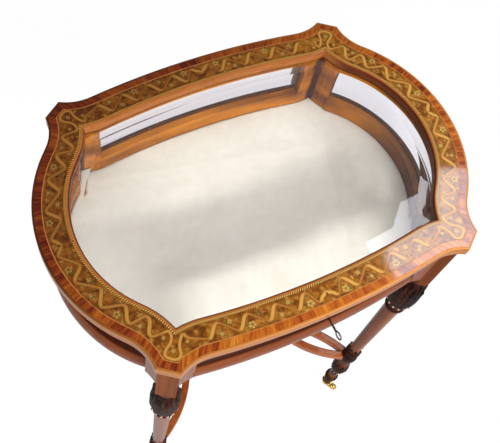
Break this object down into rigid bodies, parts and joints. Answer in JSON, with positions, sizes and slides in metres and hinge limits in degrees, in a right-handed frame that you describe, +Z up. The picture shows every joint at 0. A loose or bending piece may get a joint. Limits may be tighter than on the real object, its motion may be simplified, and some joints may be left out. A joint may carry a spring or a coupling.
{
  "type": "display table",
  "caption": "Shaped display table with a glazed lid hinged at the back, bowed glass sides, a padded velvet floor, turned legs, incurved crossed stretchers and castors.",
  "frame": {"origin": "on the floor under the middle of the table", "axes": "+Z up, +X along the width, -Y towards the side with the lock and key"},
  "size_m": [0.603, 0.4474, 0.76],
  "materials": {
    "dark_wood": "polished",
    "rail_wood": "polished",
    "leg_wood": "polished",
    "edge_wood": "satin",
    "crossband_wood": "polished",
    "light_stringing": "polished",
    "marquetry": "polished",
    "chequer": "polished",
    "moulding_wood": "polished",
    "bead_wood": "satin",
    "board_wood": "matt",
    "glass": "clear, bevelled",
    "brass": "polished",
    "steel": "satin",
    "velvet": "short pile"
  },
  "bodies": {
    "case": {"base_board": "board_wood", "bottom_rail_back": "rail_wood", "bottom_rail_front": "rail_wood", "bottom_rail_left": "rail_wood", "bottom_rail_right": "rail_wood", "case_hinge_leaves": "brass", "case_screws": "brass", "castor_cups": "brass", "corner_post_bl": "dark_wood", "corner_post_br": "dark_wood", "corner_post_fl": "dark_wood", "corner_post_fr": "dark_wood", "escutcheon": "brass", "glazing_beads": "bead_wood", "hinge_pins": "brass", "leg_bl": "leg_wood", "leg_br": "leg_wood", "leg_fl": "leg_wood", "leg_fr": "leg_wood", "lock_case": "brass", "side_glass_back": "glass", "side_glass_front": "glass", "side_glass_left": "glass", "side_glass_right": "glass", "stretcher_back": "leg_wood", "stretcher_front": "leg_wood", "stretcher_left": "leg_wood", "stretcher_right": "leg_wood", "top_rail_back": "dark_wood", "top_rail_front": "dark_wood", "top_rail_left": "dark_wood", "top_rail_right": "dark_wood", "velvet_pad": "velvet"},
    "lid": {"lid_front_rail": "dark_wood", "lid_back_rail": "dark_wood", "lid_left_rail": "dark_wood", "lid_right_rail": "dark_wood", "lid_edge_moulding": "edge_wood", "lid_crossbanding": "crossband_wood", "lid_outer_stringing": "light_stringing", "lid_marquetry_band": "marquetry", "lid_chequer_stringing": "chequer", "lid_inner_moulding": "moulding_wood", "lid_glass": "glass", "lid_glass_bead": "bead_wood", "lid_hinge_leaves": "brass", "lock_strike_plate": "brass", "lid_screws": "brass"},
    "key": {"key": "brass"},
    "lock_bolt": {"lock_bolt": "steel"},
    "castor_horn_fl": {"castor_horn_fl": "brass"},
    "castor_wheel_fl": {"castor_wheel_fl": "brass"},
    "castor_horn_fr": {"castor_horn_fr": "brass"},
    "castor_wheel_fr": {"castor_wheel_fr": "brass"},
    "castor_horn_bl": {"castor_horn_bl": "brass"},
    "castor_wheel_bl": {"castor_wheel_bl": "brass"},
    "castor_horn_br": {"castor_horn_br": "brass"},
    "castor_wheel_br": {"castor_wheel_br": "brass"}
  },
  "joints": [
    {"name": "lid_hinge", "type": "hinge", "parent": "case", "child": "lid", "pos_m": [0, 0.20048, 0.742], "axis": [-1, 0, 0], "range_deg": [0, 95]},
    {"name": "key_turn", "type": "hinge", "parent": "case", "child": "key", "pos_m": [0, -0.2, 0.725], "axis": [0, -1, 0], "range_deg": [0, 90]},
    {"name": "bolt_turn", "type": "hinge", "parent": "case", "child": "lock_bolt", "pos_m": [0, -0.173, 0.725], "axis": [0, -1, 0], "range_deg": [0, 90]},
    {"name": "castor_swivel_fl", "type": "hinge", "parent": "case", "child": "castor_horn_fl", "pos_m": [-0.205, -0.1795, 0.017], "axis": [0, 0, 1], "continuous": true},
    {"name": "castor_roll_fl", "type": "hinge", "parent": "castor_horn_fl", "child": "castor_wheel_fl", "pos_m": [-0.2163, -0.19477, 0.0085], "axis": [0.8039, -0.5948, 0], "continuous": true},
    {"name": "castor_swivel_fr", "type": "hinge", "parent": "case", "child": "castor_horn_fr", "pos_m": [0.205, -0.1795, 0.017], "axis": [0, 0, 1], "continuous": true},
    {"name": "castor_roll_fr", "type": "hinge", "parent": "castor_horn_fr", "child": "castor_wheel_fr", "pos_m": [0.2163, -0.19477, 0.0085], "axis": [0.8039, 0.5948, 0], "continuous": true},
    {"name": "castor_swivel_bl", "type": "hinge", "parent": "case", "child": "castor_horn_bl", "pos_m": [-0.205, 0.1795, 0.017], "axis": [0, 0, 1], "continuous": true},
    {"name": "castor_roll_bl", "type": "hinge", "parent": "castor_horn_bl", "child": "castor_wheel_bl", "pos_m": [-0.2163, 0.19477, 0.0085], "axis": [-0.8039, -0.5948, 0], "continuous": true},
    {"name": "castor_swivel_br", "type": "hinge", "parent": "case", "child": "castor_horn_br", "pos_m": [0.205, 0.1795, 0.017], "axis": [0, 0, 1], "continuous": true},
    {"name": "castor_roll_br", "type": "hinge", "parent": "castor_horn_br", "child": "castor_wheel_br", "pos_m": [0.2163, 0.19477, 0.0085], "axis": [-0.8039, 0.5948, 0], "continuous": true}
  ],
  "couplings": [
    {"joint": "bolt_turn", "follows": "key_turn", "ratio": 1}
  ]
}
